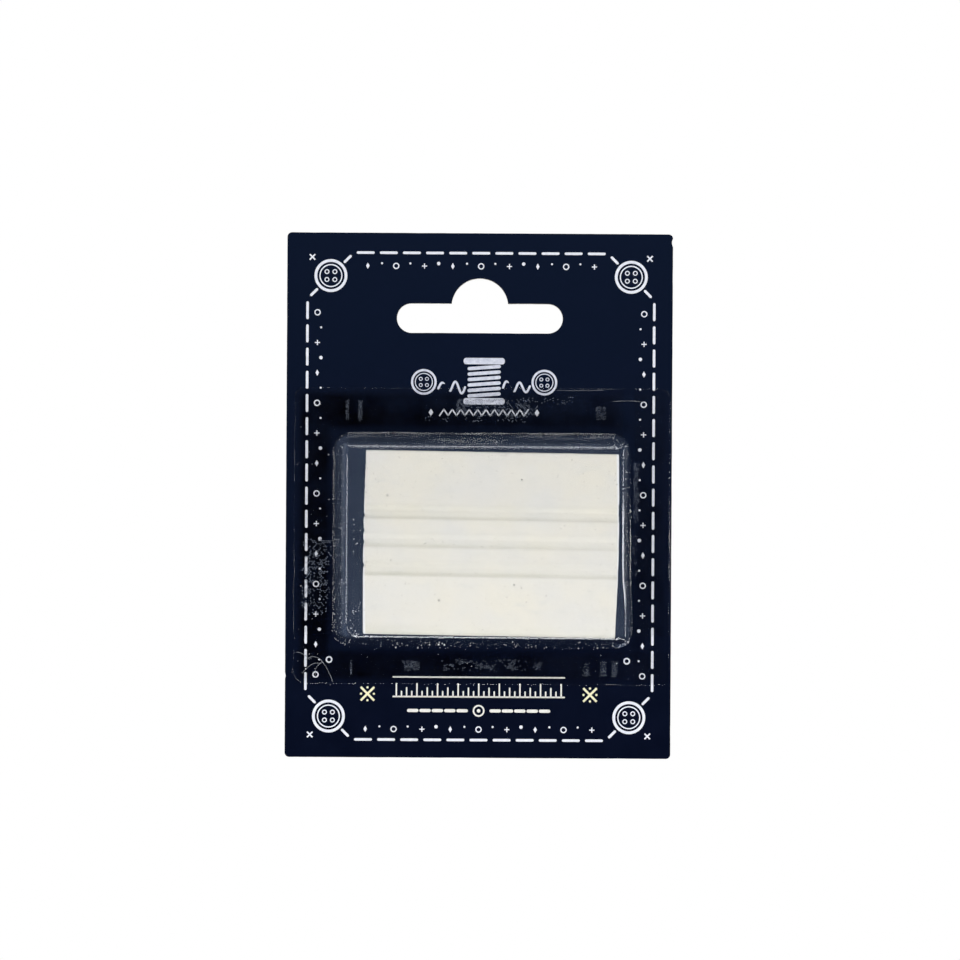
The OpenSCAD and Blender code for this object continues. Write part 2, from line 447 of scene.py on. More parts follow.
# Clear formed film: mirrors at grazing angles, with chalk haze inside the pocket whose amount per wall is
# partly painted light
def film_material():
    mat, tree = new_material("clear_film")
    cloud = spread(tree, grain(tree, 5.0, 3.0), 0.3, 0.7, 0.023, 0.032)
    smear = spread(tree, grain(tree, 0.8, 4.0, 0.65), 0.6, 0.8, 0.0, 0.018)
    # Painted light: the milky haze is scaled per wall, darker on the bottom wall and lighter on the top and
    # left walls
    haze_and_wall_light = plus(tree, times(tree, plus(tree, cloud, smear), wall_haze_and_light(tree)), crumple(tree))
    clear = add(tree, "BsdfTransparent").outputs[0]
    milk = add(tree, "BsdfDiffuse", {"Color": (0.5, 0.66, 1.0, 1)}).outputs[0]
    ripple = bump(tree, grain(tree, 2.2, 2.0), 0.012, 0.6)
    gloss = add(tree, "BsdfGlossy", {"Roughness": 0.05, "Normal": ripple}).outputs[0]
    return end_with(mat, mix(tree, skin_share(tree), mix(tree, haze_and_wall_light, clear, milk), gloss))


# Thin see-through layer with a milky share that may be mottled
def milky_material(name, colour, low, high, size):
    mat, tree = new_material(name)
    share = spread(tree, grain(tree, size, 4.0, 0.6), 0.35, 0.7, low, high)
    clear = add(tree, "BsdfTransparent").outputs[0]
    milk = add(tree, "BsdfDiffuse", {"Color": colour}).outputs[0]
    return end_with(mat, mix(tree, share, clear, milk))


# Points round a circle, counterclockwise in the front view
def circle(x, z, r, count=36):
    a = np.linspace(0, 2 * math.pi, count, endpoint=False)
    return stack(x + r * np.cos(a), z + r * np.sin(a))


# Outline of a rectangle with round corners
def rounded_outline(x, z, half_w, half_h, r, count=14):
    parts = []
    for turn, (sx, sz) in enumerate(((1, 1), (-1, 1), (-1, -1), (1, -1))):
        a = np.linspace(turn * math.pi / 2, (turn + 1) * math.pi / 2, count)
        parts.append(stack(x + sx * (half_w - r) + r * np.cos(a), z + sz * (half_h - r) + r * np.sin(a)))
    return np.vstack(parts)


# Outline of the hang slot: a straight slot with round ends and a round arch
def slot_outline():
    end_x = (SLOT_W - SLOT_H) / 2
    r = SLOT_H / 2
    right = np.linspace(-math.pi / 2, math.pi / 2, 20)
    left = np.linspace(math.pi / 2, 3 * math.pi / 2, 20)
    low = math.asin((r - ARCH_Z) / ARCH_R)
    arch = np.linspace(low, math.pi - low, 40)
    return np.vstack((
        stack(end_x + r * np.cos(right), r * np.sin(right)),
        stack(ARCH_R * np.cos(arch), ARCH_Z + ARCH_R * np.sin(arch)),
        stack(-end_x + r * np.cos(left), r * np.sin(left)),
    ))


# A line given width, with round ends
def ribbon(points, width):
    p = np.asarray(points, float)
    along = np.gradient(p, axis=0)
    along /= np.linalg.norm(along, axis=1)[:, None]
    side = stack(-along[:, 1], along[:, 0]) * width / 2
    caps = []
    for tip, (x, z) in ((p[-1], side[-1]), (p[0], -side[0])):
        a = math.atan2(z, x) - np.linspace(0, math.pi, 8)[1:-1]
        caps.append(tip + stack(np.cos(a), np.sin(a)) * width / 2)
    return [np.vstack((p + side, caps[0], (p - side)[::-1], caps[1]))]


def dash(x0, z0, x1, z1, width):
    return ribbon([(x0, z0), ((x0 + x1) / 2, (z0 + z1) / 2), (x1, z1)], width)


def ring(x, z, r, width, count=40):
    return [circle(x, z, r, count), circle(x, z, r - width, count)]


def diamond(x, z, half_w, half_h):
    return [np.array([(x + half_w, z), (x, z + half_h), (x - half_w, z), (x, z - half_h)])]


# A plus sign, or a cross stitch when turned by 45 degrees
def cross(x, z, reach, width, turn=0.0):
    w = width / 2
    corners = [(w, w), (w, reach), (-w, reach), (-w, w), (-reach, w), (-reach, -w)]
    corners += [(-w, -w), (-w, -reach), (w, -reach), (w, -w), (reach, -w), (reach, w)]
    c, s = math.cos(turn), math.sin(turn)
    return [np.array([(x + a * c - b * s, z + a * s + b * c) for a, b in corners])]


# A button: a wide rim, a thin inner ring and four holes
def button(x, z, r):
    shapes = [ring(x, z, r, 0.17 * r), ring(x, z, 0.7 * r, 0.07 * r)]
    for sx, sz in ((1, 1), (1, -1), (-1, 1), (-1, -1)):
        shapes.append(ring(x + sx * 0.24 * r, z + sz * 0.24 * r, 0.15 * r, 0.06 * r, 20))
    return shapes


# Four-sided faces between two rows of points, closed or open, by the number of each row's first
def quads(first, second, count, closed=True):
    steps = range(count if closed else count - 1)
    return [(first + i, first + (i + 1) % count, second + (i + 1) % count, second + i) for i in steps]


# Points and faces of flat plates, each a list of an outline and its holes
def plates(shapes, front, back, soft=0.0):
    levels = [(front, soft), (front + soft, 0.0), (back - soft / 2, 0.0), (back, soft / 2)]
    if soft == 0:
        levels = [(front, 0.0), (back, 0.0)]
    points, faces = [], []
    for loops in shapes:
        cap = tessellate_polygon([[Vector((*p, 0)) for p in loop] for loop in loops])
        base = np.vstack(loops)
        moved = np.vstack([inward(loop, k > 0) for k, loop in enumerate(loops)])
        count = len(base)
        start = len(points)
        for y, inset in levels:
            level = base + moved * inset
            points.extend(stack(level[:, 0], np.full(count, y), level[:, 1]).tolist())
        last = start + count * (len(levels) - 1)
        faces.extend([tuple(end + i for i in tri) for end in (start, last) for tri in cap])
        for loop in loops:
            for k in range(len(levels) - 1):
                a = start + k * count
                faces.extend(quads(a, a + count, len(loop)))
            start += len(loop)
    return points, faces


# Flat plates on the card's face, by the distance of their front and back from it
def plates_on_card(shapes, front, back):
    return plates(shapes, CARD_FRONT - front, CARD_FRONT - back)


# Unit steps from each point of an outline into the plate
def inward(loop, hole):
    p = np.asarray(loop, float)
    along = np.roll(p, -1, 0) - np.roll(p, 1, 0)
    along /= np.maximum(np.linalg.norm(along, axis=1), 1e-9)[:, None]
    normal = stack(-along[:, 1], along[:, 0])
    area = np.sum(p[:, 0] * np.roll(p[:, 1], -1) - np.roll(p[:, 0], -1) * p[:, 1])
    sign = 1 if area > 0 else -1
    return normal * sign * (-1 if hole else 1)


# Adds points along an outline so that none are farther apart than the step
def refine(loop, apart):
    out = []
    for a, b in zip(loop, np.roll(loop, -1, 0)):
        n = max(1, math.ceil(np.linalg.norm(b - a) / apart))
        out.extend([a + (b - a) * k / n for k in range(n)])
    return np.array(out)


# Noise along an outline on the card
def edge_noise(loop, size, seed):
    return smooth_noise(stack(loop, np.zeros(len(loop))), size, seed)


# The printed card with slightly rough cut edges, softened rims, a nick and a rubbed spot
def build_card(mat):
    x, z = (CARD_LEFT + CARD_RIGHT) / 2, (CARD_BOTTOM + CARD_TOP) / 2
    half_w, half_h = (CARD_RIGHT - CARD_LEFT) / 2, (CARD_TOP - CARD_BOTTOM) / 2
    outer = refine(rounded_outline(x, z, half_w, half_h, CARD_CORNER), 0.4)
    hole = refine(slot_outline(), 0.4)
    nick = np.linalg.norm(outer - np.array((CARD_RIGHT, 14.9)), axis=1)
    rub = np.linalg.norm(outer - np.array((CARD_LEFT, -69.6)), axis=1)
    worn = 0.22 * (1 - step(nick, 0.2, 0.9)) + 0.12 * (1 - step(rub, 0.1, 0.6))
    for loop, more, seed in ((outer, worn, 3), (hole, 0.0, 4)):
        rough = more + 0.01 * (1 + edge_noise(loop, 0.9, seed))
        rough += 0.02 * step(edge_noise(loop, 4.0, seed + 5), 0.4, 0.8)
        loop += inward(loop, loop is hole) * rough[:, None]
    points, faces = plates([[outer, hole]], CARD_FRONT, 0.0, CARD_RIM)
    card = mesh_piece("printed_card", points, faces, mat)
    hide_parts("backing_card")
    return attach(card, "pack")


# A running stitch along a line, with whole stitches and equal spaces
def stitches(x0, z0, x1, z1, length, space, width):
    total = math.hypot(x1 - x0, z1 - z0)
    count = max(1, round((total + space) / (length + space)))
    pitch = total / count
    share = length / (length + space) * pitch / total
    shapes = []
    for k in range(count):
        a = (k + 0.5) * pitch / total - share / 2
        b = a + share
        ends = (x0 + a * (x1 - x0), z0 + a * (z1 - z0), x0 + b * (x1 - x0), z0 + b * (z1 - z0))
        shapes.append(dash(*ends, width))
    return shapes


# The stitched border with cut corners and a button on each corner
def border_shapes():
    left, right = CARD_LEFT + 4.0, CARD_RIGHT - 3.6
    low, high = CARD_BOTTOM + 3.5, CARD_TOP - 3.9
    cut, r = 9.0, 3.2
    shapes = []
    for z in (low, high):
        shapes += stitches(left + cut, z, right - cut, z, 3.0, 1.5, 0.5)
    for x in (left, right):
        shapes += stitches(x, low + cut, x, high - cut, 3.0, 1.5, 0.5)
    for x, sx in ((left, 1), (right, -1)):
        for z, sz in ((low, 1), (high, -1)):
            shapes += button(x + sx * cut / 2, z + sz * cut / 2, r)
            for a, b in ((0.08, 0.2), (0.8, 0.92)):
                ends = [x + sx * cut * (1 - a), z + sz * cut * a, x + sx * cut * (1 - b), z + sz * cut * b]
                shapes.append(dash(*ends, 0.5))
            shapes.append(cross(x + sx * 0.9, z + sz * 0.9, 0.75, 0.28, math.pi / 4))
    return shapes


# Small rings, plus signs, diamonds and dots in even rows inside the border
def scatter_shapes():
    shapes = []
    kinds = [
        lambda x, z: ring(x, z, 0.62, 0.22, 24),
        lambda x, z: [circle(x, z, 0.2, 14)],
        lambda x, z: cross(x, z, 0.5, 0.2),
        lambda x, z: [circle(x, z, 0.34, 18)],
        lambda x, z: diamond(x, z, 0.34, 0.62),
    ]
    kinds.append(kinds[1])
    for side, x in ((-1, CARD_LEFT + 6.3), (1, CARD_RIGHT - 5.9)):
        for k in range(25):
            z = 1.0 - k * 2.93
            shift = 0.35 * side * (-1 if k % 2 else 1)
            shapes.append(kinds[k % 6](x + shift, z))
    for k in range(-8, 9):
        for z in (CARD_TOP - 6.2, CARD_BOTTOM + 5.8):
            shapes.append(kinds[(k + 18) % 6](k * 2.75 + 0.2, z + (0.25 if k % 2 else -0.25)))
    for x in (-28.9, 28.9):
        shapes.append(ring(x, -66.4, 0.66, 0.28, 24))
    return shapes


# A spool with waving thread and a button at each end, and a zigzag below
def ornament_shapes():
    x0, z0 = 0.9, -12.2
    shapes = [[rounded_outline(x0, z0 + side * 3.9, 4.0, 0.62, 0.5, 6)] for side in (1, -1)]
    t = np.linspace(-1, 1, 15)
    for k in range(6):
        line = stack(x0 + 2.9 * t, z0 + 2.65 - 1.06 * k + 0.22 * t)
        shapes.append(ribbon(line, 0.66))
    u = np.linspace(0, 1, 60)
    for side in (-1, 1):
        wave = z0 - 1.2 + 1.25 * np.sin(u * 4.1 * math.pi + (0 if side > 0 else math.pi)) * (1 - 0.35 * u)
        shapes.append(ribbon(stack(x0 + side * (3.7 + 5.2 * u), wave), 0.42))
        shapes += button(x0 + side * 11.7, z0 - 0.2, 2.5)
    return shapes


def zigzag_shapes():
    x0, z0, steps = 0.9, -18.3, 22
    xs = np.linspace(-8.6, 8.6, steps)
    line = stack(x0 + xs, z0 + 0.62 * np.where(np.arange(steps) % 2, 1, -1))
    shapes = [dash(*line[k], *line[k + 1], 0.26) for k in range(steps - 1)]
    for side in (-1, 1):
        shapes.append(diamond(x0 + side * 10.3, z0, 0.45, 0.7))
    return shapes


# A tape measure's ticks and a row of stitches, where the lower lines of print are
def tape_shapes():
    x0, z0 = 0.2, -71.6
    shapes = []
    for z in (z0 + 1.9, z0 - 1.9):
        shapes.append(dash(x0 - 16.6, z, x0 + 16.6, z, 0.3))
    for k in range(-16, 17):
        length = 2.5 if k % 4 == 0 else (1.7 if k % 2 == 0 else 1.0)
        shapes.append(dash(x0 + k, z0 - 1.9, x0 + k, z0 - 1.9 + length, 0.28))
    low = z0 - 4.6
    for start, end in ((-14.0, -2.0), (2.0, 14.0)):
        shapes += stitches(x0 + start, low, x0 + end, low, 1.6, 0.8, 0.62)
    shapes += [ring(x0, low, 1.15, 0.3), [circle(x0, low, 0.35, 18)]]
    return shapes


def yellow_shapes():
    shapes = []
    z = -73.0
    for x in (-21.4, 21.8):
        shapes.append(cross(x, z, 1.85, 0.42, math.pi / 4))
        for sx, sz in ((1, 0), (-1, 0), (0, 1), (0, -1)):
            shapes.append([circle(x + 1.25 * sx, z + 1.25 * sz, 0.22, 14)])
    return shapes


def build_print(name, shapes, mat, thick):
    points, faces = plates_on_card(shapes, thick, 0.002)
    obj = mesh_piece(name, points, faces, mat)
    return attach(obj, "pack")


# Half the plate's thickness against height: a crowned band with one-sided grooves
def half_thickness(v):
    v = np.asarray(v, float)
    out = CHALK_HALF_T - (v - BAND_MIDDLE) ** 2 / (2 * CROWN_R)
    for g in GROOVES:
        u = (g + GROOVE_W / 2 - v) / GROOVE_W
        fall = step(u, 0.0, GROOVE_BREAK)
        rise = 1 - np.clip((u - GROOVE_BREAK) / (1 - GROOVE_BREAK), 0, 1) ** 3.2
        out = out - GROOVE_D * np.where((u > 0) & (u < 1), np.minimum(fall, rise), 0)
    return out


# One face of the plate from its top edge to its bottom edge, as height and half thickness
def chalk_profile():
    shoulder = CHALK_HALF_T - ((BAND[1] - BAND[0]) / 2) ** 2 / (2 * CROWN_R)
    top = CHALK_H / 2
    side = stack(np.full(4, top), np.linspace(0, EDGE_R - TOP_EDGE_R, 4))
    arc = np.radians(np.linspace(0, 78, 7))[1:]
    round_x = top - TOP_EDGE_R + TOP_EDGE_R * np.cos(arc)
    round_y = EDGE_R - TOP_EDGE_R + TOP_EDGE_R * np.sin(arc)
    edge = np.vstack((side, stack(round_x, round_y)))
    t = np.linspace(0, 1, 48)[1:-1, None]
    upper = np.vstack((edge, edge[-1] * (1 - t) + np.array((BAND[1], shoulder)) * t))
    centre = top - EDGE_R
    run, rise = centre + BAND[0], shoulder
    first = math.atan2(rise, -run) - math.acos(EDGE_R / math.hypot(run, rise))
    arc = np.linspace(0, first, 14)
    edge = stack(centre + EDGE_R * np.cos(arc), EDGE_R * np.sin(arc))
    lower = np.vstack((edge, edge[-1] * (1 - t) + np.array((-BAND[0], shoulder)) * t))[::-1]
    lower[:, 0] *= -1
    middle = np.arange(BAND[1], BAND[0] - 0.01, -0.1)
    return np.vstack((upper, stack(middle, half_thickness(middle)), lower))


# Marks on the plate: place, height, face side, radius and depth
def chalk_marks():
    rng = np.random.default_rng(21)
    reach_x, reach_z, end = 23.5, 16.5, CHALK_W / 2
    marks = []
    for k in range(70):
        x, z = rng.uniform(-reach_x, reach_x), rng.uniform(-reach_z, reach_z)
        r = rng.uniform(0.12, 0.3)
        marks.append((x, z, rng.choice((-1, 1)), r, r * rng.uniform(0.3, 0.5)))
    for v in (5.2, 0.2, -4.2):
        marks.append((-end, v, -1, 0.5, 0.16))
    for x, z, *_ in SPECKS:
        marks.append((x, z, -1, 0.34, 0.14))
    for k in range(26):
        x, z = rng.choice((-1, 1)) * end, rng.uniform(-reach_z, reach_z)
        marks.append((x, z, rng.choice((-1, 1)), rng.uniform(0.3, 0.7), rng.uniform(0.03, 0.12)))
    for k in range(14):
        x, z = rng.uniform(-23, 23), rng.choice((-1, 1)) * 17.3
        marks.append((x, z, rng.choice((-1, 1)), rng.uniform(0.4, 1.1), rng.uniform(0.05, 0.16)))
    return marks


# The chalk plate: section swept along its width, with worn rims, pits and chips
def build_chalk(mat):
    profile = chalk_profile()
    rows = len(profile)
    tangent = np.gradient(profile, axis=0)
    tangent /= np.linalg.norm(tangent, axis=1)[:, None]
    normal = stack(-tangent[:, 1], tangent[:, 0])
    normal *= -np.sign(np.sum(normal[:, 1]))
    end = CHALK_W / 2
    turn = np.radians(np.linspace(90, 0, 7)[:-1])
    ends = [(end - END_WEAR * (1 - math.sin(a)), END_WEAR * (1 - math.cos(a))) for a in turn]
    inner = np.linspace(-end + END_WEAR, end - END_WEAR, 215)
    stations = [(-x, inset) for x, inset in ends] + [(x, 0.0) for x in inner] + ends[::-1]
    grid = []
    for face in (-1, 1):
        for x, inset in stations:
            moved = profile + normal * inset
            grid.append(stack(np.full(rows, x), face * np.maximum(moved[:, 1], 0.0), moved[:, 0]))
    count = len(stations)
    points = np.vstack(grid)
    faces = []
    for side in (0, count):
        for s in range(side, side + count - 1):
            faces.extend(quads(s * rows, (s + 1) * rows, rows, False))
    layers = 14
    extra = []
    for s in (0, count - 1):
        front, back = s * rows, (count + s) * rows
        starts = [front]
        for k in range(1, layers):
            t = k / layers
            starts.append(len(points) + len(extra) * rows)
            extra.append(points[front:front + rows] * (1 - t) + points[back:back + rows] * t)
        starts.append(back)
        for a, b in zip(starts, starts[1:]):
            faces.extend(quads(a, b, rows, False))
    points = wear_chalk(np.vstack([points] + extra))
    c, s = math.cos(CHALK_TURN), math.sin(CHALK_TURN)
    x = points[:, 0] * c + points[:, 2] * s + CHALK_X
    z = -points[:, 0] * s + points[:, 2] * c + CHALK_Z
    placed = stack(x, points[:, 1] + CHALK_Y, z)
    chalk = mesh_piece("chalk_plate", placed, faces, mat, True, 0.004)
    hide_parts("chalk")
    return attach(chalk, "loose_chalk")


# Pulls points inward: pressed texture, worn ends, pits, chips and the worn lower right end
def wear_chalk(points):
    p = points.copy()
    depth = 0.012 * (1 + smooth_noise(p, 0.5, 31)) + 0.014 * (1 + smooth_noise(p, 1.7, 32))
    pit = np.zeros(len(p))
    for x, z, face, r, deep in chalk_marks():
        near = (np.abs(p[:, 0] - x) < r * 1.2) & (np.abs(p[:, 2] - z) < r * 1.2)
        if not near.any():
            continue
        q = p[near]
        away = np.hypot(q[:, 0] - x, q[:, 2] - z) / r
        pit[near] += step(q[:, 1] * face, 0.0, 1.2) * deep * (1 - step(away, 0.3, 1.0))
    depth = depth + pit
    shrink = np.clip(1 - depth / np.maximum(np.abs(p[:, 1]), 0.6), 0.4, 1)
    p[:, 1] *= shrink
    end = step(np.abs(p[:, 0]), CHALK_W / 2 - 0.6, CHALK_W / 2)
    p[:, 0] -= np.sign(p[:, 0]) * end * (0.015 * (1 + smooth_noise(p, 1.2, 33)) + 0.7 * pit)
    edge = step(np.abs(p[:, 2]), CHALK_H / 2 - 0.8, CHALK_H / 2)
    p[:, 2] -= np.sign(p[:, 2]) * edge * (0.03 * (1 + smooth_noise(p, 1.4, 34)) + 0.5 * pit)
    right = step(p[:, 0], CHALK_W / 2 - 7, CHALK_W / 2)
    low = step(-p[:, 2], 4.5, 15.5)
    p[:, 0] -= 0.12 * right * low
    return p


# Places round a rounded rectangle: corner shares along and up, and outward directions
def around_places():
    places = []
    corners = ((1, 1), (-1, 1), (-1, -1), (1, -1))
    for turn, (sx, sz) in enumerate(corners):
        a = np.linspace(turn * math.pi / 2, (turn + 1) * math.pi / 2, 18)
        places.append(stack(np.full(18, sx), np.full(18, sz), np.cos(a), np.sin(a)))
        nx, nz = corners[(turn + 1) % 4]
        t = np.linspace(0, 1, 130 if turn in (0, 2) else 92)[1:-1]
        out_x, out_z = np.full(len(t), math.cos(a[-1])), np.full(len(t), math.sin(a[-1]))
        places.append(stack(sx + (nx - sx) * t, sz + (nz - sz) * t, out_x, out_z))
    return np.vstack(places).T


# Takes one value on each side of the pocket, with smooth changes at the corners
def by_side(out_x, out_z, left, right, top, bottom):
    across = left + (right - left) * step(out_x, -1, 1)
    up = bottom + (top - bottom) * step(out_z, -1, 1)
    share = step(np.abs(out_x), 0.3, 0.95)
    return across * share + up * (1 - share)


# The film's outer skin in rings from the flange edge in: points, outward directions, kind and share
def film_rings():
    share_x, share_z, out_x, out_z = around_places()
    top = FLANGE_BACK - POCKET_FRONT
    rim = by_side(out_x, out_z, *RIM_R)
    centre_s = by_side(out_x, out_z, *WALL_RUN[:3], WALL_RUN[3] - 0.1 * share_x)
    front_corner = FRONT_CORNER + 0.35 * (1 - share_x) * (1 - share_z)
    rings = []

    def outline(x, z, half_w, half_h, r):
        return x + share_x * (half_w - r) + r * out_x, z + share_z * (half_h - r) + r * out_z

    def ring_at(kind, share, inset, height, tilt):
        r = np.minimum(np.maximum(FOOT_CORNER - inset, front_corner), 0.98 * (FOOT_HALF_H - inset))
        x, z = outline(*grown(FOOT, -inset), r)
        n = stack(out_x * np.sin(tilt), -np.cos(tilt) * np.ones(len(x)), out_z * np.sin(tilt))
        rings.append((stack(x, FLANGE_BACK - height, z), n, kind, share))

    flat = np.zeros(len(out_x))
    edge_x, edge_z = outline(*FLANGE, FLANGE_CORNER)
    foot_x, foot_z = outline(*FOOT, FOOT_CORNER)
    forward = stack(flat, flat - 1, flat)
    for t in (0.0, CUT_EDGE_SHARE / 2, CUT_EDGE_SHARE, *np.linspace(0.06, 1, 16)[:-1]):
        x, z = edge_x * (1 - t) + foot_x * t, edge_z * (1 - t) + foot_z * t
        rings.append((stack(x, flat + (FLANGE_BACK - FILM_T), z), forward, "flange", t))
    centre_h = top - rim
    rise = centre_h - FILM_T - FOOT_R
    wall = np.arctan2(rise, centre_s) + np.arcsin((FOOT_R + rim) / np.hypot(rise, centre_s))
    for t in np.linspace(0, 1, 10):
        tilt = t * wall
        ring_at("foot", t, FOOT_R * np.sin(tilt), FILM_T + FOOT_R * (1 - np.cos(tilt)), tilt)
    low_s, low_h = FOOT_R * np.sin(wall), FILM_T + FOOT_R * (1 - np.cos(wall))
    high_s, high_h = centre_s - rim * np.sin(wall), centre_h + rim * np.cos(wall)
    for t in np.linspace(0, 1, 18)[1:-1]:
        ring_at("wall", t, low_s + (high_s - low_s) * t, low_h + (high_h - low_h) * t, wall)
    for t in np.linspace(1, 0, 16):
        tilt = t * wall
        ring_at("rim", 1 - t, centre_s - rim * np.sin(tilt), centre_h + rim * np.cos(tilt), tilt)
    for t in np.linspace(0, 1, 30)[1:]:
        ring_at("front", t, centre_s + t * (FOOT_HALF_H - 0.5 - centre_s), flat + top, flat)
    return rings


# How far each place on the film is out of true, along its normal and sideways
def film_moves(base, kind, share):
    x, z = base[:, 0] - FLANGE_X, base[:, 2] - POCKET_Z
    if kind == "flange":
        return 0.015 * smooth_noise(base, 3.5, 41), share ** 4
    if kind == "front":
        bowl = np.clip(1 - (x / 25.6) ** 2, 0, 1) * np.clip(1 - (z / 17.7) ** 2, 0, 1)
        sag = -FRONT_SAG * bowl - 0.02 * (1 + smooth_noise(base, 6.0, 42)) * np.minimum(1, 6 * bowl)
        return sag, 0.0
    up = step(z, 14.0, 18.0)
    down = step(-z, 14.0, 18.0)
    right = step(x, 24.0, 27.5)
    wall = 0.3 + 0.7 * math.sin(math.pi * share)
    arch = {"foot": share * 0.3, "wall": wall, "rim": 0.3 * (1 - share) ** 2}[kind]
    d = 0.07 * smooth_noise(base, 6.0, 43) + 0.008 * smooth_noise(base, 1.1, 44)
    d = d + up * (0.16 * smooth_noise(base * (0.3, 1, 1), 4.0, 45) - 0.05)
    d = d + down * (0.05 * creases(base, 1.4, 46) - 0.06 + 0.012 * smooth_noise(base, 0.7, 47))
    d = d + right * down * (0.3 * creases(base, 0.9, 48) - 0.08)
    d = d + right * up * 0.14 * creases(base, 2.8, 49)
    d = d + right * 0.2 * np.exp(-((z + 14) / 4.0) ** 2)
    return d * arch, 1.0 - share if kind == "foot" else 0.0


# The clear film as a closed shell of even thickness
def build_film(mat):
    rings = film_rings()
    rows, count = len(rings), len(rings[0][0])
    flat = np.zeros(count)
    outer, inner = [], []
    for base, normal, kind, share in rings:
        d, near = film_moves(base, kind, share)
        skin = base + normal * np.asarray(d)[:, None]
        shift = {"foot": share, "wall": 1.0, "rim": 1.0, "front": (1 - share) ** 4}.get(kind, 0.0)
        lower_right = step(base[:, 0], 20.0, 27.0) * step(-base[:, 2], 46.0, 58.0)
        skin[:, 0] += BULGE * shift * lower_right
        if np.any(near):
            x, z = base[:, 0] - FLANGE_X, base[:, 2] - POCKET_Z
            out = stack(x / FOOT_HALF_W, flat, z / FOOT_HALF_H)
            out = np.sign(out) * np.abs(out) ** 12
            wave = 0.14 * smooth_noise(stack(x, flat, z), 3.0, 51)
            skin = skin + out * (wave * near)[:, None]
        thin = FILM_T
        if kind == "flange":
            thin = CUT_EDGE_T + (FILM_T - CUT_EDGE_T) * min(1.0, share / CUT_EDGE_SHARE)
            skin = skin - normal * (FILM_T - thin)
        outer.append(skin)
        inner.append(skin - normal * (thin - (SEAL_GAP if kind in ("flange", "foot") else 0.0)))
    points = np.vstack(outer + inner)
    back = rows * count
    faces = []
    for start in (0, back):
        for r in range(rows - 1):
            a = start + r * count
            faces.extend(quads(a, a + count, count))
        last = start + (rows - 1) * count
        faces.append(tuple(range(last, last + count)))
    faces.extend(quads(0, back, count))
    film = mesh_piece("formed_film", points, faces, mat, True)
    polygons = film.data.polygons
    for poly in polygons[len(polygons) - count:]:
        poly.use_smooth = False
    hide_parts("blister")
    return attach(film, "pack")


# The heat-seal lacquer between the flange and the card
def build_lacquer(mat):
    outer = refine(rounded_outline(*grown(FLANGE, -LACQUER_MARGIN), LACQUER_OUTER_R), 0.6)
    inner = refine(rounded_outline(*grown(FOOT, LACQUER_MARGIN), LACQUER_INNER_R), 0.6)
    for loop, seed in ((outer, 61), (inner, 62)):
        loop += inward(loop, loop is inner) * (0.1 * (1 + edge_noise(loop, 2.0, seed)))[:, None]
    points, faces = plates_on_card([[outer, inner]], *LACQUER)
    obj = mesh_piece("seal_lacquer", points, faces, mat)
    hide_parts("seal_ring")
    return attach(obj, "pack")


# One four-sided press mark of the sealing plate, as a low pyramid
def press_mark(points, faces, x, z, half_w, half_h):
    base = len(points)
    front, back = (CARD_FRONT - depth for depth in PRESSED)
    for a, b in ((half_w, 0), (0, half_h), (-half_w, 0), (0, -half_h)):
        points.append((x + a, back, z + b))
    points.append((x, front, z))
    faces.append((base, base + 1, base + 2, base + 3))
    faces.extend([(base + k, base + (k + 1) % 4, base + 4) for k in range(4)])


# Where the pressed patches lie: middle, half size, pitch, how ragged and how dense
def seal_patches():
    return (
        (-31.4, -50.2, 2.6, 9.2, 0.46, 0.6, 0.45),
        (30.55, -33.6, 0.55, 7.2, 0.34, 0.7, 0.75),
        (30.3, -45.5, 0.4, 5.0, 0.34, 0.9, 0.3),
        (-25.6, -17.9, 0.42, 2.3, 0.26, 0.35, 0.95),
        (-23.1, -18.0, 0.4, 2.3, 0.26, 0.35, 0.95),
        (3.5, -17.3, 7.5, 1.9, 0.36, 1.1, 0.55),
        (12.5, -16.0, 5.5, 0.9, 0.36, 1.0, 0.45),
        (-0.5, -19.6, 9.5, 0.5, 0.36, 1.0, 0.3),
        (23.6, -18.2, 0.9, 1.4, 0.3, 0.7, 0.7),
        (24.3, -67.9, 0.62, 1.75, 0.26, 0.35, 0.95),
        (26.6, -67.9, 0.5, 1.75, 0.26, 0.35, 0.95),
        (21.0, -67.9, 0.6, 1.5, 0.3, 0.8, 0.6),
        (-13.0, -67.6, 1.5, 1.2, 0.3, 0.6, 0.8),
        (-24.6, -67.9, 0.2, 1.6, 0.26, 0.3, 0.9),
        (3.0, -67.2, 9.5, 1.1, 0.36, 1.1, 0.32),
    )


def build_press_marks(mat):
    rng = np.random.default_rng(71)
    points, faces = [], []
    for x0, z0, half_w, half_h, pitch, ragged, dense in seal_patches():
        columns, rows = int(2 * half_w / pitch) + 3, int(2 * half_h / (pitch * 0.8)) + 3
        for i in range(columns):
            for j in range(rows):
                x = x0 + (i - columns / 2 + 0.5 * (j % 2)) * pitch
                z = z0 + (j - rows / 2) * pitch * 0.62
                edge = max(abs(x - x0) / half_w, abs(z - z0) / half_h)
                clump = smooth_noise(np.array([(x, 0, z)]), 1.3, 72)[0]
                if edge > 1.15 or rng.uniform() > dense * (1 - 0.25 * ragged) + 0.35 * ragged * clump:
                    continue
                if edge > 0.85 and clump < 0.0:
                    continue
                press_mark(points, faces, x, z, pitch * 0.36, pitch * 0.3 * rng.uniform(0.7, 1.1))
    obj = mesh_piece("press_marks", points, faces, mat)
    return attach(obj, "pack")


